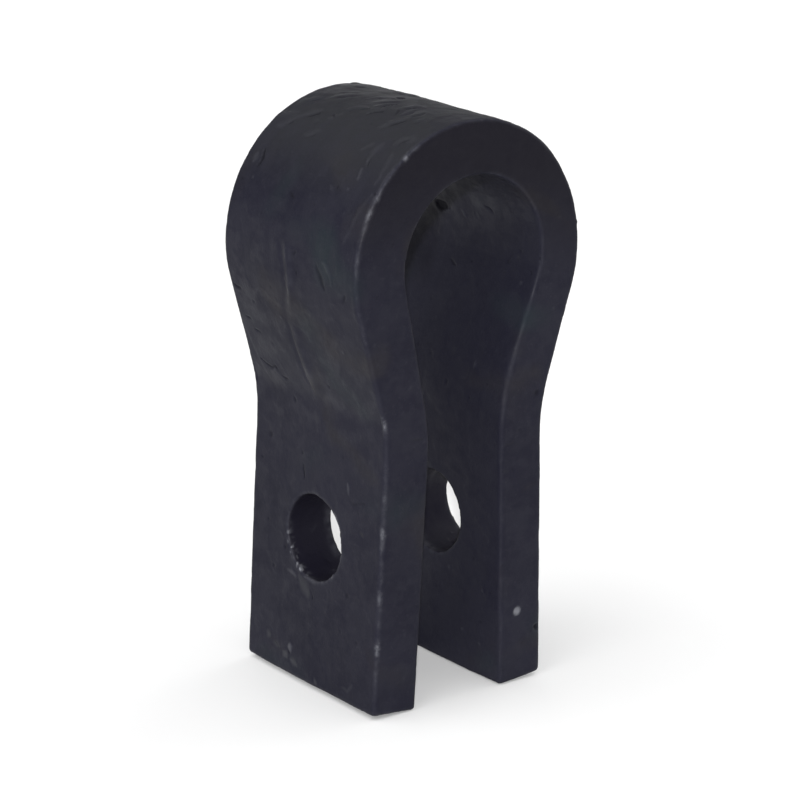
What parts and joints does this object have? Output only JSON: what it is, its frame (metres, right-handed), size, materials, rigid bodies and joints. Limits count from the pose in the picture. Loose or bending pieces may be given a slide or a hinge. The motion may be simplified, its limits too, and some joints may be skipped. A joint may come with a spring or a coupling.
{
  "type": "forged bolt-on wear tooth",
  "caption": "Forged keyhole-shaped loop tooth: a round head with a pierced eye, and two splayed legs that straddle a carrier lug and take one through bolt.",
  "frame": {"origin": "under the middle of the loop, level with the lowest corners of the leg ends", "axes": "+Z from the leg ends to the round head, +X along the bolt hole, -Y is the front face"},
  "size_m": [0.0668, 0.051, 0.1404],
  "materials": {
    "forging_scale": "blue-black forging and heat-treatment scale, semi-matt, worn brighter along the edges"
  },
  "bodies": {
    "root": {"forged_loop": "forging_scale"}
  },
  "joints": []
}
